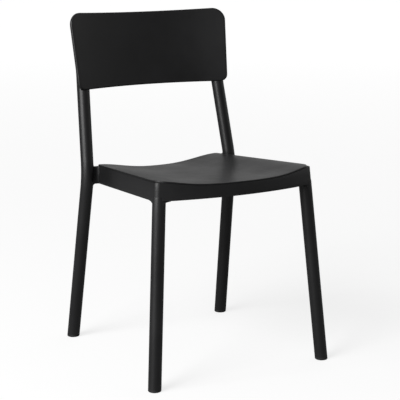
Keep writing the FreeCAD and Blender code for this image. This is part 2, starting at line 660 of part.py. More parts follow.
rear_bolts, rear_inserts = [], []
for place in rear_bolt_places():
    mouth = rear_insert_mouth(place)
    reach = (mouth - place).Length + REAR_INSERT_LENGTH - 1
    rear_bolts.append(screw(LEG_BOLT, reach, place, V(1, 0, 0)))
    bush = insert(LEG_INSERT_DIAMETER, LEG_BOLT["shank"], REAR_INSERT_LENGTH, mouth, V(1, 0, 0))
    rear_inserts.append(bush)
export("rear_leg_bolts", group(rear_bolts + [mirrored(bolt) for bolt in rear_bolts]))
export("rear_leg_inserts", group(rear_inserts + [mirrored(bush) for bush in rear_inserts]))

back_bolts, back_inserts, back_caps = [], [], []
for place in back_bolt_places():
    seat = back_head_seat(place)
    reach = (seat - place).Length + BACK_INSERT_LENGTH - 1
    back_bolts.append(screw(BACK_BOLT, reach, seat, BACK_NORMAL * -1))
    back_inserts.append(insert(BACK_INSERT_DIAMETER, BACK_BOLT["shank"], BACK_INSERT_LENGTH,
                               place, BACK_NORMAL * -1))
    cap_low = seat + BACK_NORMAL * (BACK_HEAD_RECESS - BACK_CAP_THICKNESS - BACK_CAP_SINK)
    cap_r = BACK_BOLT["head"] / 2 + BACK_CAP_GRIP
    back_caps.append(rod(cap_low, cap_low + BACK_NORMAL * BACK_CAP_THICKNESS, cap_r))
for name, pieces in (("back_screws", back_bolts), ("back_inserts", back_inserts),
                     ("back_screw_caps", back_caps)):
    export(name, group(pieces + [mirrored(piece) for piece in pieces]))

seat_screws = [screw(SEAT_SCREW, SEAT_SCREW_LENGTH - 0.5, place - V(0, 0, TAB_THICKNESS), V(0, 0, 1))
               for place in seat_screw_places()]
export("seat_screws", group(seat_screws + [mirrored(piece) for piece in seat_screws]))
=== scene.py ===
from math import atan2, cos, pi, radians, sin, sqrt, tan

import bmesh
import bpy
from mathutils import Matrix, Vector


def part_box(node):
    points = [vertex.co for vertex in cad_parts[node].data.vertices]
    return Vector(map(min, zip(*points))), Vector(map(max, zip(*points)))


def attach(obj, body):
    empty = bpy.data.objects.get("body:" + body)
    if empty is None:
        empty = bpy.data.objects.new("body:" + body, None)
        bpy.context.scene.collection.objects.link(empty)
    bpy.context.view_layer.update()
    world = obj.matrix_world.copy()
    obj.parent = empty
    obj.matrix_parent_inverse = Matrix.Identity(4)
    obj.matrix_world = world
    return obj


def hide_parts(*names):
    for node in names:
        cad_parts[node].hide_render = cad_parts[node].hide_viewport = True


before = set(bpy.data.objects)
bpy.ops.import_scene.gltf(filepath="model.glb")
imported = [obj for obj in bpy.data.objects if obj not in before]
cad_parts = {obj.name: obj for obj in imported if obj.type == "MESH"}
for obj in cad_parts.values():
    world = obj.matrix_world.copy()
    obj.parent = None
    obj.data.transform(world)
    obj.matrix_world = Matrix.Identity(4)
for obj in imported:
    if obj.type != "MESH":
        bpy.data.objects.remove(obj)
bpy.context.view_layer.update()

# Stacking chair, metres, the same frame as the CAD: +Z up, the sitter faces -Y.
# The sitter's left hand is on the +X side.

# ------------------------------------------------------------------ camera
VIEW_AZIMUTH = -29.74      # degrees, 0 looks along +Y
VIEW_DOWN = 11.96
CAMERA_PLACE = (-1.47475, -2.62672, 0.99452)
LENS = 118.92              # millimetres
SENSOR = 36.0
LIT_HEIGHT = 0.42          # the height that the softbox faces

# ------------------------------------------------------------------ design values
SEAT_DEPTH = 0.369
SEAT_TAPER = radians(5.87)
SEAT_PITCH = radians(3.81)
FRONT_BOW_RADIUS = 0.527
SEAT_THICKNESS = 0.0028
FRONT_DISH = 0.0138
REAR_DISH = 0.0158
FRONT_DISH_POWER = 1.95
REAR_DISH_POWER = 1.31
SEAT_CORNER = 0.034
SEAT_EDGE_INSET = 0.001
SEAT_EDGE_ROUND = 0.0016
RIB_DEPTH = 0.012
RIB_THICKNESS = 0.0026
RIB_PITCH = 0.056
RIB_FIRST_ROW = 0.0333     # behind the seat's front corners
RIB_ZONE_INSET = 0.017
RIB_ZONE_CORNER = 0.024
RIB_SINK = 0.0008          # how far ribs and bosses run up into the panel
RIB_COLUMNS = (-2, -1, 0, 1, 2)
RIB_ROWS = 6
UNDER_EDGE_ROUND = 0.0006
SHADOW_GAP = 0.0009
APRON_HEIGHT = 0.044
APRON_WALL = 0.004
APRON_ROUND = 0.0014
APRON_INNER_ROUND = 0.001
STEP_WIDTH = 0.0024
STEP_ROUND = 0.0005
SHELF_WIDTH = 0.011
SHELF_THICKNESS = 0.0035
SHELF_CORNER = 0.020
REAR_CORNER = 0.009
LUG_DEPTH = 0.016
LUG_FILLET = 0.009
LUG_COLLAR = 0.006
LUG_ROUND = 0.0009
LUG_ROOT = 0.7             # share of the apron's wall that the lug runs into
COLLAR_END_GAP = 0.0006    # collar kept clear of the lug's front and rear faces
COLLAR_SINK = 0.0003
COLLAR_CORE = 0.004
TAB_LENGTH = 0.032
TAB_WIDTH = 0.020
TAB_THICKNESS = 0.0045
TAB_DROP = 0.015
TAB_INSET = 0.022
TAB_ROUND = 0.0008
SEAT_SCREW_SHARES = (0.14, 0.5, 0.84)
BOSS_RADIUS = 0.005
FRONT_R = 0.0146
REAR_R = 0.0148
HEAD_FILLET = 0.009
HEAD_LAP = 0.008
HEAD_STEP = 0.0006
HEAD_ROUND = 0.0009
WEB_WIDTH = APRON_WALL + 0.002
WEB_SINK = 0.0008
SIDE_WEB_FOOT = 0.0025     # nearest the leg's axis that each web's hollow edge comes down
BOW_WEB_FOOT = 0.007
COLUMN_SINK = 0.0002
COLUMN_START = 0.002       # above the apron's underside
COLUMN_HEADROOM = 0.001
BEND_RADIUS = 0.180
BACK_LEAN = radians(10.8)
BACK_CURVE = 0.546
BACK_THICKNESS = 0.008
BACK_BOTTOM_HALF = 0.1993
BACK_TOP_HALF = 0.2080
BACK_TOP_CORNER = 0.028
BACK_BOTTOM_CORNER = 0.017
BACK_TOP_SAG = 0.0046
BACK_PROUD = 0.0012
BACK_EDGE_ROUND = 0.0026
PANEL_GAP = 0.0002
GLIDE_HEIGHT = 0.006
GLIDE_ROUND = 0.0022
FOOT_START = 0.03          # first level ring above the seam at the glide
SEAM = 0.00035             # hair line between two pieces that meet
HAIR = 0.00001
LEG_SIDES = 56
ROUND_SMOOTH = 40          # degrees, for legs, glides and the back panel


# ------------------------------------------------------------------ places read from the frame
def section(node, z):
    """Middle of a CAD node's horizontal section at a height."""
    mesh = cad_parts[node].data
    points = []
    for edge in mesh.edges:
        a, b = (mesh.vertices[i].co for i in edge.vertices)
        if (a.z - z) * (b.z - z) < 0:
            points.append(a.lerp(b, (z - a.z) / (b.z - a.z)))
    xs, ys = [p.x for p in points], [p.y for p in points]
    return Vector(((min(xs) + max(xs)) / 2, (min(ys) + max(ys)) / 2, z))


def on_line(a, b, z):
    return a.lerp(b, (z - a.z) / (b.z - a.z))


FRONT_FOOT, FRONT_HEAD = section("front_leg_left", 0.03), section("front_leg_left", 0.38)
REAR_FOOT, REAR_KNEE = section("rear_leg_left", 0.03), section("rear_leg_left", 0.33)
POST_FOOT, POST_HEAD = section("rear_leg_left", 0.47), section("rear_leg_left", 0.59)
FRAME_LOW, FRAME_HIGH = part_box("seat_frame")
PANEL_LOW, PANEL_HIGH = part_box("back_panel")
POST_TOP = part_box("rear_leg_left")[1][2]

COLUMN_R = FRONT_R - HEAD_STEP
REAR_Y = FRAME_HIGH[1]
FRONT_Y = REAR_Y - SEAT_DEPTH
UNDER = FRAME_LOW[2] + SEAT_DEPTH * tan(SEAT_PITCH)
SEAT_HEIGHT = UNDER + APRON_HEIGHT
NORMAL = Vector((cos(SEAT_TAPER), sin(SEAT_TAPER)))
ALONG = Vector((-sin(SEAT_TAPER), cos(SEAT_TAPER)))
BACK_LOW = PANEL_LOW[2]
BACK_TOP = PANEL_HIGH[2]


def front_axis(z):
    return on_line(FRONT_FOOT, FRONT_HEAD, z)


def post_axis(z):
    return on_line(POST_FOOT, POST_HEAD, z)


def bend_point():
    """Where the rear leg's line and the post's line meet."""
    low, high = REAR_KNEE.z, POST_FOOT.z
    for _ in range(40):
        z = (low + high) / 2
        if on_line(REAR_FOOT, REAR_KNEE, z).y > post_axis(z).y:
            low = z
        else:
            high = z
    return post_axis(low)


BEND = bend_point()


def side_x(y, z=None):
    """X of the left side's face."""
    corner = front_axis(SEAT_HEIGHT - APRON_HEIGHT / 2 if z is None else z)
    return (NORMAL.x * corner.x + NORMAL.y * corner.y + COLUMN_R - NORMAL.y * y) / NORMAL.x


def edge_z(y):
    return SEAT_HEIGHT - (y - FRONT_Y) * tan(SEAT_PITCH)


def under_z(y):
    return edge_z(y) - APRON_HEIGHT


def seat_z(x, y):
    """Height of the seat's top surface."""
    back = (y - FRONT_Y) / SEAT_DEPTH
    depth = FRONT_DISH + (REAR_DISH - FRONT_DISH) * back
    power = FRONT_DISH_POWER + (REAR_DISH_POWER - FRONT_DISH_POWER) * min(max(back, 0), 1)
    across = min(abs(x / side_x(y)), 1)
    return edge_z(y) - depth * (1 + cos(pi * across ** power)) / 2


def back_y(x, z):
    """Y of the back panel's front face."""
    post = post_axis(BACK_LOW)
    x = min(abs(x), BACK_TOP_HALF + 0.02)
    bow = sqrt(BACK_CURVE ** 2 - post.x ** 2) - sqrt(BACK_CURVE ** 2 - x ** 2)
    return post.y - REAR_R - BACK_PROUD + (z - BACK_LOW) * tan(BACK_LEAN) - bow / cos(BACK_LEAN)


# ------------------------------------------------------------------ modelling helpers
def deselect():
    bpy.ops.object.select_all(action="DESELECT")


def activate(piece):
    deselect()
    piece.select_set(True)
    bpy.context.view_layer.objects.active = piece


def draw(name, rings, hoop=False):
    """Piece drawn ring by ring: a circle set on the first ring, then extruded to each next one.

    A hoop is open in its middle and closes on its first ring; any other piece is closed by
    its first and last rings' faces.
    """
    deselect()
    fill = "NOTHING" if hoop else "NGON"
    bpy.ops.mesh.primitive_circle_add(vertices=len(rings[0]), fill_type=fill)
    piece = bpy.context.active_object
    piece.name = piece.data.name = name
    bpy.ops.object.mode_set(mode="EDIT")
    bpy.ops.mesh.select_all(action="SELECT")
    mesh = bmesh.from_edit_mesh(piece.data)
    for vertex, point in zip(mesh.verts, rings[0]):
        vertex.co = point
    bmesh.update_edit_mesh(piece.data)
    for last, ring in zip(rings, rings[1:] + ([rings[0]] if hoop else [])):
        moved = {tuple(Vector(a)): b for a, b in zip(last, ring)}
        bpy.ops.mesh.extrude_region()
        mesh = bmesh.from_edit_mesh(piece.data)
        for vertex in mesh.verts:
            if vertex.select:
                vertex.co = moved[tuple(vertex.co)]
        bmesh.update_edit_mesh(piece.data)
    bpy.ops.object.mode_set(mode="OBJECT")
    close(piece)
    return piece


def close(piece):
    """Merge doubles, turn the faces outwards and leave edit mode."""
    activate(piece)
    bpy.ops.object.mode_set(mode="EDIT")
    bpy.ops.mesh.select_all(action="SELECT")
    bpy.ops.mesh.remove_doubles(threshold=1e-6)
    bpy.ops.mesh.normals_make_consistent(inside=False)
    bpy.ops.object.mode_set(mode="OBJECT")


def smooth(piece, angle=32):
    activate(piece)
    bpy.ops.object.shade_smooth_by_angle(angle=radians(angle))


def round_edges(piece, width, segments=3, angle=50):
    activate(piece)
    bevel = piece.modifiers.new("round", "BEVEL")
    bevel.width = width
    bevel.segments = segments
    bevel.limit_method = "ANGLE"
    bevel.angle_limit = radians(angle)
    bpy.ops.object.modifier_apply(modifier=bevel.name)


def copied(piece, name):
    activate(piece)
    bpy.ops.object.duplicate()
    copy = bpy.context.active_object
    copy.name = copy.data.name = name
    return copy


def mirrored(piece, name):
    """Copy on the chair's other side."""
    copy = copied(piece, name)
    bpy.ops.object.mode_set(mode="EDIT")
    bpy.ops.mesh.select_all(action="SELECT")
    bpy.ops.transform.resize(value=(-1, 1, 1), center_override=(0, 0, 0))
    bpy.ops.object.mode_set(mode="OBJECT")
    close(copy)
    return copy


def joined(pieces):
    """Several shapes as one object, for one cut or union."""
    deselect()
    for piece in pieces:
        piece.select_set(True)
    bpy.context.view_layer.objects.active = pieces[0]
    if len(pieces) > 1:
        bpy.ops.object.join()
    return pieces[0]


def combine(piece, tool, operation, crossing=False):
    """Union or difference with another object, which is used up."""
    activate(piece)
    cut = piece.modifiers.new("combine", "BOOLEAN")
    cut.object = tool
    cut.operation = operation
    cut.solver = "EXACT"
    cut.use_self = crossing
    bpy.ops.object.modifier_apply(modifier=cut.name)
    bpy.data.objects.remove(tool)


def finish(piece, material, nodes):
    """Material, slot, body and the CAD nodes that the piece stands for."""
    piece.data.materials.clear()
    piece.data.materials.append(material)
    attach(piece, "root")
    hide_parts(*nodes)


# ------------------------------------------------------------------ outlines
def arc(centre, radius, start, end, steps):
    turns = [start + (end - start) * i / steps for i in range(steps + 1)]
    return [Vector((centre[0] + radius * cos(a), centre[1] + radius * sin(a))) for a in turns]


def line(start, end, steps):
    return [start.lerp(end, i / steps) for i in range(1, steps + 1)]


def seat_outline(z, inset, corner):
    """Plan outline of the seat at a height: bowed front, tapered sides, straight rear."""
    post = front_axis(z)
    bow_y = post.y + sqrt((FRONT_BOW_RADIUS - COLUMN_R) ** 2 - post.x ** 2)
    bow = FRONT_BOW_RADIUS - inset
    side = NORMAL.x * post.x + NORMAL.y * post.y + COLUMN_R - inset
    k = side - corner
    b = bow_y * ALONG.y
    c = k * k + bow_y ** 2 - 2 * k * bow_y * NORMAL.y - (bow - corner) ** 2
    centre = NORMAL * k + ALONG * (b - sqrt(b * b - c))
    rear_r = max(REAR_CORNER - inset, 0.001)
    rear_y = REAR_Y - inset - rear_r
    rear = Vector(((side - rear_r - NORMAL.y * rear_y) / NORMAL.x, rear_y))
    meet = atan2(centre.y - bow_y, centre.x)
    half = arc((0, bow_y), bow, -pi / 2, meet, 22)
    half += arc(centre, corner, meet, SEAT_TAPER, 14)[1:]
    half += line(half[-1], rear + NORMAL * rear_r, 24)
    half += arc(rear, rear_r, SEAT_TAPER, pi / 2, 7)[1:]
    half += line(half[-1], Vector((0, REAR_Y - inset)), 16)
    return half + [Vector((-p.x, p.y)) for p in reversed(half[1:-1])]


def seat_ring(inset, corner, height):
    """Ring on the seat's plan, which leans with the front legs; height(x, y) gives its z."""
    low = seat_outline(UNDER, inset, corner)
    high = seat_outline(SEAT_HEIGHT, inset, corner)
    ring = []
    for a, b in zip(low, high):
        z = SEAT_HEIGHT
        for _ in range(3):
            p = a.lerp(b, (z - UNDER) / APRON_HEIGHT)
            z = height(p.x, p.y)
        ring.append(Vector((p.x, p.y, z)))
    return ring


def from_top(drop):
    return lambda x, y: seat_z(x, y) - drop


def from_under(rise):
    return lambda x, y: under_z(y) + rise


def shrunk(ring, share, height):
    """The ring drawn in towards the middle of the seat."""
    middle = Vector((0, FRONT_Y + SEAT_DEPTH * 0.48))
    points = [middle.lerp(Vector((p.x, p.y)), share) for p in ring]
    return [Vector((p.x, p.y, height(p.x, p.y))) for p in points]


def quarter(inset, rise, radius, start, end, steps=4):
    """Rounded edge of a profile: (inset, rise) pairs round a centre, angles in degrees."""
    turns = [radians(start + (end - start) * i / steps) for i in range(steps + 1)]
    return [(inset + radius * cos(a), rise + radius * sin(a)) for a in turns]


# ------------------------------------------------------------------ seat panel
def seat_screw_places():
    """Upper face of each tab of the seat frame, left side."""
    places = []
    for share in SEAT_SCREW_SHARES:
        y = FRONT_Y + SEAT_DEPTH * share
        x = side_x(y) - TAB_INSET
        places.append(Vector((x, y, seat_z(x, y) - SEAT_THICKNESS - TAB_DROP)))
    return places


def upright(name, centre, low, high, radius, sides=32):
    """Round boss or column between two heights on a leaning line; centre(z) gives its axis."""
    rings = []
    for z in (low, high):
        middle = centre(z)
        rings.append([Vector((p.x, p.y, z)) for p in arc(middle, radius, 0, 2 * pi, sides)[:-1]])
    return draw(name, rings)


def seat_bar(name, start, end):
    """One rib: a bar of the rib's section that follows the seat's underside."""
    across = Vector((-(end - start).y, (end - start).x)).normalized() * (RIB_THICKNESS / 2)
    top, foot = SEAT_THICKNESS - RIB_SINK, SEAT_THICKNESS + RIB_DEPTH
    rings = []
    for i in range(17):
        p = start.lerp(end, i / 16)
        corners = ((p - across, top), (p + across, top), (p + across, foot), (p - across, foot))
        rings.append([Vector((c.x, c.y, seat_z(c.x, c.y) - drop)) for c, drop in corners])
    return draw(name, rings)


def crossings(outline, axis, value):
    """Lowest and highest place where the outline meets x = value (axis 0) or y = value."""
    found = []
    for a, b in zip(outline, outline[1:] + outline[:1]):
        if (a[axis] - value) * (b[axis] - value) < 0:
            share = (value - a[axis]) / (b[axis] - a[axis])
            found.append(a.lerp(b, share)[1 - axis])
    return min(found), max(found)


def make_seat_panel():
    """Dished seat, drawn from the middle of its underside round the rim to its top."""
    def rim(inset, drop):
        return seat_ring(inset, SEAT_CORNER - inset + SEAT_EDGE_INSET, from_top(drop))

    lower, upper = from_top(SEAT_THICKNESS), from_top(0)
    edge = SEAT_EDGE_INSET
    base = seat_ring(edge + SEAT_EDGE_ROUND, SEAT_CORNER - SEAT_EDGE_ROUND, upper)
    shares = [0.03, 0.1, 0.18, 0.26, 0.34, 0.42, 0.5, 0.58, 0.65, 0.72, 0.78, 0.83, 0.875,
              0.91, 0.94, 0.965, 0.985]
    rings = [shrunk(base, share, lower) for share in shares[::2]]
    under, over = UNDER_EDGE_ROUND, SEAT_EDGE_ROUND
    rings += [rim(edge + under + x, SEAT_THICKNESS - under - z)
              for x, z in quarter(0, 0, under, 270, 180, 3)]
    rings += [rim(edge + over + x, over - z) for x, z in quarter(0, 0, over, 180, 90, 6)]
    rings += [shrunk(base, share, upper) for share in reversed(shares)]
    panel = draw("seat_panel", rings)
    zone = seat_outline(SEAT_HEIGHT - SEAT_THICKNESS, RIB_ZONE_INSET, RIB_ZONE_CORNER)
    ribs = []
    for i in RIB_COLUMNS:
        x = i * RIB_PITCH + HAIR
        low, high = crossings(zone, 0, x)
        ribs.append(seat_bar("rib", Vector((x, low)), Vector((x, high))))
    for j in range(RIB_ROWS):
        y = FRONT_Y + RIB_FIRST_ROW + j * RIB_PITCH
        low, high = crossings(zone, 1, y)
        ribs.append(seat_bar("rib", Vector((low, y)), Vector((high, y))))
    for place in seat_screw_places():
        for sign in (1, -1):
            middle = Vector((place.x * sign, place.y))
            top = place.z + TAB_DROP + 0.001
            ribs.append(upright("boss", lambda z: middle, place.z, top, BOSS_RADIUS))
    combine(panel, joined(ribs), "UNION", crossing=True)
    smooth(panel)
    return panel


# ------------------------------------------------------------------ seat frame
def lug():
    """Rear lug that reaches out to the leg, hollow where it leaves the apron."""
    y0 = REAR_Y - LUG_DEPTH
    x0, face = side_x(y0) - APRON_WALL * LUG_ROOT, side_x(y0 - LUG_FILLET)
    centre = Vector((face + LUG_FILLET, y0 - LUG_FILLET))
    hollow = arc(centre, LUG_FILLET, pi, pi / 2, 10)
    plan = [Vector((x0, REAR_Y)), Vector((x0, y0 - LUG_FILLET))] + hollow
    plan += [Vector((BEND.x, y0)), Vector((BEND.x, REAR_Y))]
    back, fore = Vector((0, 1)), Vector((0, -1))
    inward = [fore, back] + [(p - centre).normalized() for p in hollow] + [back, fore]
    low, high = from_under(0), lambda x, y: edge_z(y) - SEAT_THICKNESS - SHADOW_GAP
    rings = []
    for level, way in ((low, 1), (high, -1)):
        edge = []
        for inset, rise in quarter(LUG_ROUND, LUG_ROUND, LUG_ROUND, 270, 180, 3):
            points = [p + turn * inset for p, turn in zip(plan, inward)]
            edge.append([Vector((p.x, p.y, level(p.x, p.y) + way * rise)) for p in points])
        rings += edge if way > 0 else edge[::-1]
    return draw("lug", rings)


def lug_fillet(sign):
    """Hollow fillet from the lug to the round leg: sign +1 above the lug, -1 below it."""
    steps, r = 12, LUG_COLLAR
    inner = BEND.x + COLLAR_CORE
    rings = []
    for i in range(steps + 1):
        y = REAR_Y - LUG_DEPTH + LUG_DEPTH * i / steps
        y = min(max(y, REAR_Y - LUG_DEPTH + COLLAR_END_GAP), REAR_Y - COLLAR_END_GAP)
        level = edge_z(y) - SEAT_THICKNESS - SHADOW_GAP if sign > 0 else under_z(y)
        axis = rear_axis_point(level)[0]
        off = min(abs(y - axis.y), REAR_R * 0.999)
        surface = axis.x - sqrt(REAR_R ** 2 - off ** 2) + COLLAR_SINK
        curve = [(surface - r + r * sin(a), level + sign * (r - r * cos(a)))
                 for a in (radians(9 * k) for k in range(11))]
        profile = [(surface - r, level - sign * r)] + curve
        profile += [(inner, level + sign * r), (inner, level - sign * r)]
        rings.append([Vector((x, y, z)) for x, z in profile])
    return draw("fillet", rings)


def tab(place):
    """Flat tab that the seat screw goes up through."""
    root = place.x + TAB_INSET - APRON_WALL / 2
    xs = (root - TAB_LENGTH, root)
    ys = (place.y - TAB_WIDTH / 2, place.y + TAB_WIDTH / 2)
    plan = [(xs[0], ys[0]), (xs[1], ys[0]), (xs[1], ys[1]), (xs[0], ys[1])]
    rings = [[Vector((x, y, z)) for x, y in plan] for z in (place.z - TAB_THICKNESS, place.z)]
    piece = draw("tab", rings)
    round_edges(piece, TAB_ROUND)
    return piece


def make_seat_frame(legs):
    """Apron ring with its stepped top, corner columns, rear lugs and tabs."""
    top, step, under = SEAT_THICKNESS, SEAT_THICKNESS + SHADOW_GAP, SEAT_THICKNESS + SHELF_THICKNESS
    wall, shelf = APRON_WALL, APRON_WALL + SHELF_WIDTH

    def low(points):
        return [seat_ring(x, COLUMN_R - x, from_under(z)) for x, z in points]

    def high(points, corner=COLUMN_R):
        return [seat_ring(x, max(corner - x, 0.004), from_top(z)) for x, z in points]

    def inner(points):
        return [seat_ring(x, SHELF_CORNER, from_top(z)) for x, z in points]

    r, s, w = APRON_ROUND, STEP_ROUND, APRON_INNER_ROUND
    rings = low(quarter(r, r, r, 270, 180))
    rings += low([(0, APRON_HEIGHT / 4), (0, APRON_HEIGHT / 2)])
    rings += high([(x, -z) for x, z in quarter(s, -step - s, s, 180, 90, 3)])
    rings += high([(STEP_WIDTH, step), (STEP_WIDTH, top + s / 2), (STEP_WIDTH + s / 2, top)])
    rings += inner([(shelf - s, top), (shelf, top + s), (shelf, under - s), (shelf - s, under)])
    rings += high([(wall + 0.0015, under), (wall + 0.0004, under + 0.0004), (wall, under + 0.0015)])
    rings += low([(wall, APRON_HEIGHT * 0.3)])
    rings += low(quarter(wall - w, w, w, 0, -90, 3))
    ring = draw("seat_frame", rings, hoop=True)
    solids = [lug(), lug_fillet(1), lug_fillet(-1)] + [tab(place) for place in seat_screw_places()]
    corner = front_axis(SEAT_HEIGHT)
    head_z = seat_z(corner.x, corner.y) - step - COLUMN_HEADROOM
    solids.append(upright("column", front_axis, UNDER + COLUMN_START, head_z,
                          COLUMN_R - COLUMN_SINK, LEG_SIDES))
    solids += [mirrored(solid, "solid") for solid in solids]
    combine(ring, joined(solids), "UNION", crossing=True)
    combine(ring, joined([copied(leg, "cut") for leg in legs]), "DIFFERENCE")
    smooth(ring)
    return ring


# ------------------------------------------------------------------ legs
def tube_ring(axis, direction, radius, z=None):
    """Ring of a tube: level at height z, or square to the tube where z is None."""
    u = Vector((1, 0, 0))
    u = (u - direction * u.dot(direction)).normalized()
    v = direction.cross(u)
    ring = []
    for i in range(LEG_SIDES):
        turn = 2 * pi * i / LEG_SIDES
        p = axis + u * (radius * cos(turn)) + v * (radius * sin(turn))
        if z is not None:
            p = p + direction * ((z - p.z) / direction.z)
        ring.append(p)
    return ring


def gusset(start, along, out, foot):
    """Web under the apron; its hollow edge comes down the leg, no nearer the axis than foot."""
    reach, top = FRONT_R + HEAD_FILLET, Vector((0, 0, -HAIR))
    turns = [radians(5 * k) for k in range(1, 19)]
    rings = []
    for share in (0, 0.06, 0.14, 0.3, 0.6, 1):
        off = COLUMN_R - WEB_WIDTH * share
        low = max(sqrt(max(FRONT_R ** 2 - off ** 2, 0)) - WEB_SINK, foot)
        profile = [Vector((0, 0, -HEAD_FILLET)), top, along * reach + top]
        for a in turns:
            drop = Vector((0, 0, HEAD_FILLET * (1 - cos(a))))
            profile.append(along * (reach - (reach - low) * sin(a)) - drop)
        rings.append([start + p - out * (WEB_WIDTH * share) for p in profile])
    return draw("gusset", rings)


def make_front_leg():
    """Straight round leg; its head laps the corner of the seat frame."""
    direction = (FRONT_HEAD - FRONT_FOOT).normalized()
    zs = [GLIDE_HEIGHT, GLIDE_HEIGHT + SEAM] + [FOOT_START + 0.035 * i for i in range(11)]
    rings = [tube_ring(front_axis(z), direction, FRONT_R - (SEAM if z == GLIDE_HEIGHT else 0), z)
             for z in zs]
    top = front_axis(UNDER + HEAD_LAP)
    rings += [tube_ring(top - direction * (HEAD_ROUND - rise), direction, FRONT_R - inset)
              for inset, rise in quarter(HEAD_ROUND, 0, HEAD_ROUND, 180, 90, 5)]
    return draw("front_leg_left", rings)


def add_head_webs(leg):
    """The hollow webs that flare the leg's head out under the apron."""
    head = front_axis(UNDER)
    head.z = under_z(head.y)
    pitch = -tan(SEAT_PITCH)
    along = Vector((ALONG.x, ALONG.y, pitch * ALONG.y))
    side = Vector((NORMAL.x, NORMAL.y, 0))
    webs = [gusset(head + side * COLUMN_R, along, side, SIDE_WEB_FOOT)]
    turn = atan2(head.x, sqrt(FRONT_BOW_RADIUS ** 2 - head.x ** 2))
    bow_along = Vector((-cos(turn), -sin(turn), -pitch * sin(turn)))
    bow_out = Vector((sin(turn), -cos(turn), 0))
    webs.append(gusset(head + bow_out * COLUMN_R, bow_along, bow_out, BOW_WEB_FOOT))
    for web in webs:
        combine(leg, web, "UNION")


def rear_axis_point(z):
    """Point and direction of the rear leg's line at a height, rounded at the bend."""
    down = (REAR_FOOT - REAR_KNEE).normalized()
    up = (POST_HEAD - POST_FOOT).normalized()
    half = down.angle(up) / 2
    reach = BEND_RADIUS / tan(half)
    start, end = BEND + down * reach, BEND + up * reach
    if z <= start.z:
        return on_line(REAR_FOOT, REAR_KNEE, z), -down
    if z >= end.z:
        return post_axis(z), up
    middle = (down + up).normalized()
    centre = BEND + middle * (BEND_RADIUS / sin(half))
    low, high = 0.0, 1.0
    for _ in range(30):
        share = (low + high) / 2
        spoke = (start - centre).slerp(end - centre, share).normalized() * BEND_RADIUS
        low, high = (share, high) if (centre + spoke).z < z else (low, share)
    tangent = spoke.cross(middle.cross(up)).normalized()
    if tangent.z < 0:
        tangent = -tangent
    return centre + spoke, tangent


def make_rear_leg():
    """Leg and back post in one bent tube, cut back where the panel lies on it."""
    ledge = BACK_LOW - PANEL_GAP
    zs = [GLIDE_HEIGHT, GLIDE_HEIGHT + SEAM] + [FOOT_START + 0.033 * i for i in range(10)]
    zs += [0.345 + 0.0085 * i for i in range(16)] + [0.5, 0.55, 0.585, ledge - 0.0002]
    over = [ledge, BACK_LOW + 0.004] + [0.62 + 0.02 * i for i in range(6)]

    def notch(ring):
        deep = BACK_THICKNESS / cos(BACK_LEAN)
        return [Vector((p.x, max(p.y, back_y(p.x, p.z) + deep + PANEL_GAP), p.z)) for p in ring]

    rings = []
    for z in zs:
        axis, direction = rear_axis_point(z)
        rings.append(tube_ring(axis, direction, REAR_R - (SEAM if z == GLIDE_HEIGHT else 0), z))
    for z in over:
        axis, direction = rear_axis_point(z)
        rings.append(notch(tube_ring(axis, direction, REAR_R, z)))
    top = post_axis(POST_TOP - REAR_R)
    for k in range(9):
        a = radians(88 * k / 8)
        axis = top + direction * (REAR_R * sin(a))
        rings.append(notch(tube_ring(axis, direction, REAR_R * cos(a))))
    return draw("rear_leg_left", rings)


def make_glide(name, axis, radius):
    """Foot pad with a rounded lower edge."""
    direction = (axis(0.05) - axis(0)).normalized()
    rings = []
    for inset, z in quarter(GLIDE_ROUND, GLIDE_ROUND, GLIDE_ROUND, 270, 180, 5):
        rings.append(tube_ring(axis(z), direction, radius - inset, z))
    rings.append(tube_ring(axis(GLIDE_HEIGHT - SEAM), direction, radius, GLIDE_HEIGHT - SEAM))
    rings.append(tube_ring(axis(GLIDE_HEIGHT), direction, radius - SEAM, GLIDE_HEIGHT))
    return draw(name, rings)


# ------------------------------------------------------------------ back panel
def back_outline(inset):
    """Front view of the panel as (x, z), drawn in by inset."""
    low_z, top_z = BACK_LOW + inset, BACK_TOP - inset
    slope = atan2(BACK_TOP_HALF - BACK_BOTTOM_HALF, BACK_TOP - BACK_LOW)

    def corner(z, radius, sign):
        centre_z = z - sign * radius
        edge = BACK_BOTTOM_HALF + (centre_z - BACK_LOW) * tan(slope) - inset / cos(slope)
        return Vector((edge - radius / cos(slope), centre_z))

    low_r, top_r = BACK_BOTTOM_CORNER - inset, BACK_TOP_CORNER - inset
    low, top = corner(low_z, low_r, -1), corner(top_z, top_r, 1)
    half = line(Vector((-low.x / 22, low_z)), Vector((low.x, low_z)), 11)
    half = [Vector((0, low_z))] + half
    half += arc(low, low_r, -pi / 2, -slope, 8)[1:]
    half += line(half[-1], top + Vector((cos(slope), -sin(slope))) * top_r, 9)
    half += arc(top, top_r, -slope, pi / 2, 10)[1:]
    sag_r = (top.x ** 2 + BACK_TOP_SAG ** 2) / (2 * BACK_TOP_SAG)
    for i in range(1, 15):
        x = top.x * (1 - i / 14)
        half.append(Vector((x, top_z - BACK_TOP_SAG + sag_r - sqrt(sag_r ** 2 - x * x))))
    return half + [Vector((-p.x, p.y)) for p in reversed(half[1:-1])]


def back_shell(points, depth):
    """Points of the front view laid on a surface that is depth behind the front face."""
    laid = []
    for p in points:
        turn = p.x / BACK_CURVE
        lift = Vector((sin(turn), cos(turn) * cos(BACK_LEAN), -cos(turn) * sin(BACK_LEAN)))
        laid.append(Vector((p.x, back_y(p.x, p.y), p.y)) + lift * depth)
    return laid


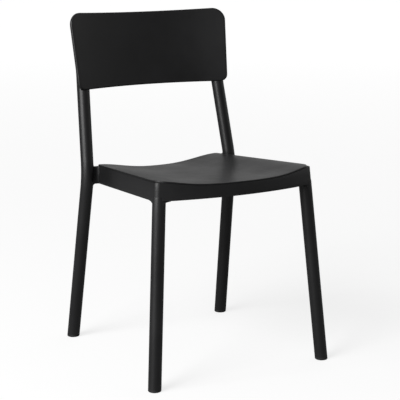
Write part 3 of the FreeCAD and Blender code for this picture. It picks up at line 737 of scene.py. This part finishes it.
def make_back_panel():
    """Curved backrest with rounded edges, drawn from its rear face round the rim."""
    middle = Vector((0, (BACK_LOW + BACK_TOP) / 2))
    r, t = BACK_EDGE_ROUND, BACK_THICKNESS
    base = back_outline(r)
    shares = [0.04, 0.15, 0.28, 0.42, 0.56, 0.7, 0.82, 0.91, 0.97]
    rings = [back_shell([middle.lerp(p, share) for p in base], t) for share in shares]
    rings += [back_shell(back_outline(r + x), t - r + z) for x, z in quarter(0, 0, r, 90, 180, 5)]
    rings += [back_shell(back_outline(r + x), r + z) for x, z in quarter(0, 0, r, 180, 270, 5)]
    rings += [back_shell([middle.lerp(p, share) for p in base], 0) for share in reversed(shares)]
    panel = draw("back_panel", rings)
    smooth(panel, ROUND_SMOOTH)
    return panel


# ------------------------------------------------------------------ finishes
def group(name, inputs, outputs):
    """New shader node group; inputs and outputs are (name, socket type, default)."""
    tree = bpy.data.node_groups.new(name, "ShaderNodeTree")
    for label, kind, value in inputs:
        socket = tree.interface.new_socket(name=label, in_out="INPUT", socket_type=kind)
        socket.default_value = value
    for label, kind in outputs:
        tree.interface.new_socket(name=label, in_out="OUTPUT", socket_type=kind)
    return tree, tree.nodes.new("NodeGroupInput"), tree.nodes.new("NodeGroupOutput")


def node(tree, kind, **values):
    """Node with properties (lower case names) and inputs (by number, in a dict) set."""
    made = tree.nodes.new("ShaderNode" + kind)
    for key, value in values.items():
        if key == "inputs":
            for socket, constant in value.items():
                made.inputs[socket].default_value = constant
        else:
            setattr(made, key, value)
    return made


FLOAT, VECTOR = "NodeSocketFloat", "NodeSocketVector"
PLASTIC_IOR = 1.46


def moulded_grain():
    """Fine grain of a spark-eroded mould: height of the surface, and how matt the grain is."""
    tree, start, end = group("moulded grain",
                             [("Place", VECTOR, (0, 0, 0)), ("Size", FLOAT, 900.0)],
                             [("Height", FLOAT), ("Mattness", FLOAT)])
    link = tree.links.new
    fine = node(tree, "TexNoise", inputs={"Detail": 3.0, "Roughness": 0.6})
    link(start.outputs["Place"], fine.inputs["Vector"])
    link(start.outputs["Size"], fine.inputs["Scale"])
    pits = node(tree, "TexVoronoi")
    link(start.outputs["Place"], pits.inputs["Vector"])
    link(start.outputs["Size"], pits.inputs["Scale"])
    depth = node(tree, "MapRange", inputs={1: 0.0, 2: 0.55, 3: 0.0, 4: 0.6})
    link(pits.outputs["Distance"], depth.inputs[0])
    total = node(tree, "Math", operation="ADD")
    link(fine.outputs["Fac"], total.inputs[0])
    link(depth.outputs[0], total.inputs[1])
    link(total.outputs[0], end.inputs["Height"])
    matt = node(tree, "MapRange", inputs={1: 0.3, 2: 0.7, 3: -1.0, 4: 1.0})
    link(fine.outputs["Fac"], matt.inputs[0])
    link(matt.outputs[0], end.inputs["Mattness"])
    return tree


def handling_marks():
    """Slow drift of tone and polish over a handled surface, with faint wipe marks."""
    tree, start, end = group("handling marks",
                             [("Place", VECTOR, (0, 0, 0)), ("Patch Size", FLOAT, 9.0),
                              ("Wipe Size", FLOAT, 60.0)],
                             [("Drift", FLOAT), ("Wipes", FLOAT)])
    link = tree.links.new
    drift = node(tree, "TexNoise", inputs={"Detail": 4.0, "Roughness": 0.55})
    link(start.outputs["Place"], drift.inputs["Vector"])
    link(start.outputs["Patch Size"], drift.inputs["Scale"])
    spread = node(tree, "MapRange", inputs={1: 0.3, 2: 0.7, 3: -1.0, 4: 1.0})
    link(drift.outputs["Fac"], spread.inputs[0])
    link(spread.outputs[0], end.inputs["Drift"])
    stretch = node(tree, "Mapping",
                   inputs={"Rotation": (0.2, 0.1, 0.5), "Scale": (1.0, 0.09, 0.35)})
    link(start.outputs["Place"], stretch.inputs["Vector"])
    wipes = node(tree, "TexNoise", inputs={"Detail": 5.0, "Roughness": 0.7, "Distortion": 0.6})
    link(stretch.outputs[0], wipes.inputs["Vector"])
    link(start.outputs["Wipe Size"], wipes.inputs["Scale"])
    streak = node(tree, "MapRange", inputs={1: 0.52, 2: 0.72, 3: 0.0, 4: 1.0})
    link(wipes.outputs["Fac"], streak.inputs[0])
    link(streak.outputs[0], end.inputs["Wipes"])
    return tree


def edge_wear():
    """Mask of rubbed edges and corners."""
    tree, start, end = group("edge wear",
                             [("Place", VECTOR, (0, 0, 0)), ("Amount", FLOAT, 0.5)],
                             [("Mask", FLOAT)])
    link = tree.links.new
    shape = node(tree, "NewGeometry")
    edge = node(tree, "MapRange", inputs={1: 0.53, 2: 0.62, 3: 0.0, 4: 1.0})
    link(shape.outputs["Pointiness"], edge.inputs[0])
    patches = node(tree, "TexNoise", inputs={"Scale": 140.0, "Detail": 4.0})
    link(start.outputs["Place"], patches.inputs["Vector"])
    broken = node(tree, "MapRange", inputs={1: 0.35, 2: 0.65, 3: 0.35, 4: 1.0})
    link(patches.outputs["Fac"], broken.inputs[0])
    worn = node(tree, "Math", operation="MULTIPLY")
    link(edge.outputs[0], worn.inputs[0])
    link(broken.outputs[0], worn.inputs[1])
    level = node(tree, "Math", operation="MULTIPLY")
    link(worn.outputs[0], level.inputs[0])
    link(start.outputs["Amount"], level.inputs[1])
    link(level.outputs[0], end.inputs["Mask"])
    return tree


GRAIN, MARKS, WEAR = moulded_grain(), handling_marks(), edge_wear()


def placed(tree, made, link, place, **values):
    """Group node that reads the piece's own coordinates."""
    item = tree.nodes.new("ShaderNodeGroup")
    item.node_tree = made
    link(place, item.inputs["Place"])
    for label, value in values.items():
        item.inputs[label.replace("_", " ")].default_value = value
    return item


def moulded_plastic(name, colour, worn_colour, roughness, grain_size, grain_depth, polish=0.06,
                    wear=0.5):
    """Moulded plastic: fine grain, slow drift of tone and polish, rubbed edges."""
    material = bpy.data.materials.new(name)
    material.use_nodes = True
    tree = material.node_tree
    link = tree.links.new
    shader = tree.nodes["Principled BSDF"]
    shader.inputs["IOR"].default_value = PLASTIC_IOR
    place = tree.nodes.new("ShaderNodeTexCoord").outputs["Object"]
    grain = placed(tree, GRAIN, link, place, Size=grain_size)
    marks = placed(tree, MARKS, link, place)
    worn = placed(tree, WEAR, link, place, Amount=wear)
    # tone drifts round one colour, and rubbed edges are paler
    tone = node(tree, "MapRange", inputs={1: -1.0, 2: 1.0, 3: 0.0, 4: 1.0})
    link(marks.outputs["Drift"], tone.inputs[0])
    base = node(tree, "Mix", data_type="RGBA")
    base.inputs["A"].default_value = tuple(c * 0.82 for c in colour) + (1,)
    base.inputs["B"].default_value = tuple(c * 1.18 for c in colour) + (1,)
    link(tone.outputs[0], base.inputs["Factor"])
    rubbed = node(tree, "Mix", data_type="RGBA")
    rubbed.inputs["B"].default_value = worn_colour + (1,)
    link(worn.outputs["Mask"], rubbed.inputs["Factor"])
    link(base.outputs["Result"], rubbed.inputs["A"])
    link(rubbed.outputs["Result"], shader.inputs["Base Color"])
    # roughness: grain, drift and wipe marks round one value
    last = None
    for output, share in ((grain.outputs["Mattness"], 0.03), (marks.outputs["Drift"], polish),
                          (marks.outputs["Wipes"], -polish), (worn.outputs["Mask"], -0.08)):
        step = node(tree, "Math", operation="MULTIPLY_ADD", inputs={1: share, 2: roughness})
        link(output, step.inputs[0])
        if last:
            link(last, step.inputs[2])
        last = step.outputs[0]
    link(last, shader.inputs["Roughness"])
    bump = node(tree, "Bump", inputs={"Strength": 0.35, "Distance": grain_depth})
    link(grain.outputs["Height"], bump.inputs["Height"])
    link(bump.outputs["Normal"], shader.inputs["Normal"])
    return material


def turned_metal(name, colour, worn_colour, roughness, line_size):
    """Plated or turned metal: fine grain, drift of polish, bright rubbed edges."""
    material = bpy.data.materials.new(name)
    material.use_nodes = True
    tree = material.node_tree
    link = tree.links.new
    shader = tree.nodes["Principled BSDF"]
    shader.inputs["Metallic"].default_value = 1.0
    place = tree.nodes.new("ShaderNodeTexCoord").outputs["Object"]
    grain = placed(tree, GRAIN, link, place, Size=line_size)
    marks = placed(tree, MARKS, link, place, Patch_Size=120.0, Wipe_Size=700.0)
    worn = placed(tree, WEAR, link, place, Amount=0.8)
    base = node(tree, "Mix", data_type="RGBA")
    base.inputs["A"].default_value = colour + (1,)
    base.inputs["B"].default_value = worn_colour + (1,)
    link(worn.outputs["Mask"], base.inputs["Factor"])
    link(base.outputs["Result"], shader.inputs["Base Color"])
    polish = node(tree, "Math", operation="MULTIPLY_ADD", inputs={1: 0.08, 2: roughness})
    link(marks.outputs["Drift"], polish.inputs[0])
    link(polish.outputs[0], shader.inputs["Roughness"])
    bump = node(tree, "Bump", inputs={"Strength": 0.25, "Distance": 0.00004})
    link(grain.outputs["Height"], bump.inputs["Height"])
    link(bump.outputs["Normal"], shader.inputs["Normal"])
    return material


BLACK = (0.0105, 0.0105, 0.011)
PANEL_RUBBED = (0.03, 0.03, 0.031)
FRAME_RUBBED = (0.035, 0.035, 0.036)
seat_plastic = moulded_plastic("seat black plastic", BLACK, PANEL_RUBBED, 0.37, 1500.0,
                               0.00010, polish=0.05, wear=0.35)
back_plastic = moulded_plastic("back black plastic", BLACK, PANEL_RUBBED, 0.44, 1500.0,
                               0.00010, polish=0.05, wear=0.35)
frame_plastic = moulded_plastic("frame black plastic", BLACK, FRAME_RUBBED, 0.40, 1700.0,
                                0.00006, polish=0.04, wear=0.5)
leg_plastic = moulded_plastic("leg black plastic", BLACK, FRAME_RUBBED, 0.38, 1700.0,
                              0.00005, polish=0.04, wear=0.5)
glide_plastic = moulded_plastic("glide dull plastic", (0.012, 0.012, 0.0125), (0.05, 0.049, 0.047),
                                0.62, 1100.0, 0.00014, polish=0.08, wear=0.9)
cap_plastic = moulded_plastic("cap black plastic", BLACK, (0.04, 0.04, 0.04), 0.5, 1800.0,
                              0.00006, wear=0.6)
zinc = turned_metal("zinc plated steel", (0.52, 0.53, 0.54), (0.72, 0.72, 0.71), 0.36, 2500.0)
brass = turned_metal("insert brass", (0.62, 0.45, 0.2), (0.8, 0.64, 0.34), 0.34, 2200.0)

# ------------------------------------------------------------------ the chair
front_left = make_front_leg()
rear_left = make_rear_leg()
rear_right = mirrored(rear_left, "rear_leg_right")
plain_right = mirrored(front_left, "plain_right")
seat_frame = make_seat_frame([front_left, plain_right, rear_left, rear_right])
bpy.data.objects.remove(plain_right)
add_head_webs(front_left)
front_right = mirrored(front_left, "front_leg_right")
seat_panel = make_seat_panel()
back_panel = make_back_panel()
front_glide_left = make_glide("front_glide_left", front_axis, FRONT_R)
rear_glide_left = make_glide("rear_glide_left", lambda z: on_line(REAR_FOOT, REAR_KNEE, z), REAR_R)
glides = {"front_glide_left": front_glide_left, "rear_glide_left": rear_glide_left,
          "front_glide_right": mirrored(front_glide_left, "front_glide_right"),
          "rear_glide_right": mirrored(rear_glide_left, "rear_glide_right")}
legs = {"front_leg_left": front_left, "front_leg_right": front_right,
        "rear_leg_left": rear_left, "rear_leg_right": rear_right}

finish(seat_panel, seat_plastic, ["seat_panel"])
finish(seat_frame, frame_plastic, ["seat_frame"])
finish(back_panel, back_plastic, ["back_panel"])
for name, leg in legs.items():
    smooth(leg, ROUND_SMOOTH)
    finish(leg, leg_plastic, [name])
for name, pad in glides.items():
    smooth(pad, ROUND_SMOOTH)
    finish(pad, glide_plastic, [name])
for name, material in (("front_leg_bolts", zinc), ("rear_leg_bolts", zinc), ("back_screws", zinc),
                       ("seat_screws", zinc), ("front_leg_inserts", brass),
                       ("rear_leg_inserts", brass), ("back_inserts", brass),
                       ("back_screw_caps", cap_plastic)):
    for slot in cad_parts[name].material_slots:
        slot.material = material

# ------------------------------------------------------------------ camera
camera_data = bpy.data.cameras.new("camera")
camera = bpy.data.objects.new("camera", camera_data)
bpy.context.scene.collection.objects.link(camera)
camera_data.sensor_width = SENSOR
camera_data.lens = LENS
camera.location = CAMERA_PLACE
camera.rotation_euler = (radians(90 - VIEW_DOWN), 0, radians(VIEW_AZIMUTH))
bpy.context.scene.camera = camera
bpy.context.scene.view_settings.view_transform = "Standard"


# ------------------------------------------------------------------ floor and light
def direction_of(azimuth, elevation):
    """Way towards a light, in degrees; azimuth 0 is behind the chair (+Y), 90 its left (+X)."""
    a, e = radians(azimuth), radians(elevation)
    return Vector((sin(a) * cos(e), cos(a) * cos(e), sin(e)))


def studio_world():
    """White backdrop; the light on the chair is dim on its right and bright on its left and rear.

    A soft window is added on its right, low down.
    """
    world = bpy.data.worlds.new("studio")
    world.use_nodes = True
    tree = world.node_tree
    link = tree.links.new
    seen = tree.nodes["Background"]
    seen.inputs["Color"].default_value = (1, 1, 1, 1)
    seen.inputs["Strength"].default_value = 0.985
    ways = node(tree, "TexCoord")
    facing = node(tree, "VectorMath", operation="DOT_PRODUCT")
    link(ways.outputs["Generated"], facing.inputs[0])
    facing.inputs[1].default_value = direction_of(75, 0)
    spread = node(tree, "MapRange", inputs={1: -0.3, 2: 1.0, 3: 0.0, 4: 1.0})
    link(facing.outputs["Value"], spread.inputs[0])
    curve = node(tree, "Math", operation="POWER", inputs={1: 2.0})
    link(spread.outputs[0], curve.inputs[0])
    level = node(tree, "MapRange", inputs={1: 0.0, 2: 1.0, 3: 0.07, 4: 0.88})
    link(curve.outputs[0], level.inputs[0])
    side = node(tree, "VectorMath", operation="DOT_PRODUCT")
    link(ways.outputs["Generated"], side.inputs[0])
    side.inputs[1].default_value = direction_of(250, 22)
    window = node(tree, "MapRange", interpolation_type="SMOOTHSTEP",
                  inputs={1: 0.30, 2: 0.80, 3: 0.0, 4: 0.25})
    link(side.outputs["Value"], window.inputs[0])
    total = node(tree, "Math", operation="ADD")
    link(level.outputs[0], total.inputs[0])
    link(window.outputs[0], total.inputs[1])
    lit = node(tree, "Background")
    link(total.outputs[0], lit.inputs["Strength"])
    paths = node(tree, "LightPath")
    mix = node(tree, "MixShader")
    link(paths.outputs["Is Camera Ray"], mix.inputs[0])
    link(lit.outputs[0], mix.inputs[1])
    link(seen.outputs[0], mix.inputs[2])
    link(mix.outputs[0], tree.nodes["World Output"].inputs["Surface"])
    bpy.context.scene.world = world


def floor():
    """Plain pale floor, so bright that only faint shadows show."""
    deselect()
    bpy.ops.mesh.primitive_circle_add(vertices=96, radius=60, fill_type="NGON")
    piece = bpy.context.active_object
    piece.name = "floor"
    material = bpy.data.materials.new("pale floor")
    material.use_nodes = True
    tree = material.node_tree
    link = tree.links.new
    shader = tree.nodes["Principled BSDF"]
    shader.inputs["Base Color"].default_value = (0.25, 0.25, 0.25, 1)
    shader.inputs["Roughness"].default_value = 0.9
    shader.inputs["Specular IOR Level"].default_value = 0.1
    paths = node(tree, "LightPath")
    place = node(tree, "TexCoord")
    away = node(tree, "VectorMath", operation="LENGTH")
    link(place.outputs["Object"], away.inputs[0])
    even = node(tree, "MapRange", inputs={1: 0.5, 2: 7.0, 3: 0.775, 4: 0.885})
    link(away.outputs["Value"], even.inputs[0])
    glow = node(tree, "MapRange", inputs={1: 0.0, 2: 1.0, 3: 0.02})
    link(paths.outputs["Is Camera Ray"], glow.inputs[0])
    link(even.outputs[0], glow.inputs[4])
    shader.inputs["Emission Color"].default_value = (1, 1, 1, 1)
    link(glow.outputs[0], shader.inputs["Emission Strength"])
    piece.data.materials.append(material)


def softbox(name, azimuth, elevation, distance, width, height, power):
    """Area light that faces the chair's middle."""
    data = bpy.data.lights.new(name, "AREA")
    data.shape = "RECTANGLE"
    data.size = width
    data.size_y = height
    data.energy = power
    light = bpy.data.objects.new(name, data)
    bpy.context.scene.collection.objects.link(light)
    way = direction_of(azimuth, elevation)
    light.location = Vector((0, 0, LIT_HEIGHT)) + way * distance
    light.rotation_euler = way.to_track_quat("Z", "Y").to_euler()


def window_light(azimuth, elevation, strength, spread):
    """Broad, soft sun; spread in degrees."""
    data = bpy.data.lights.new("window light", "SUN")
    data.energy = strength
    data.angle = radians(spread)
    light = bpy.data.objects.new("window light", data)
    bpy.context.scene.collection.objects.link(light)
    light.rotation_euler = direction_of(azimuth, elevation).to_track_quat("Z", "Y").to_euler()


studio_world()
floor()
softbox("key softbox", azimuth=256, elevation=24, distance=3.6, width=2.7, height=2.6, power=124)
window_light(azimuth=252, elevation=42, strength=0.95, spread=22)
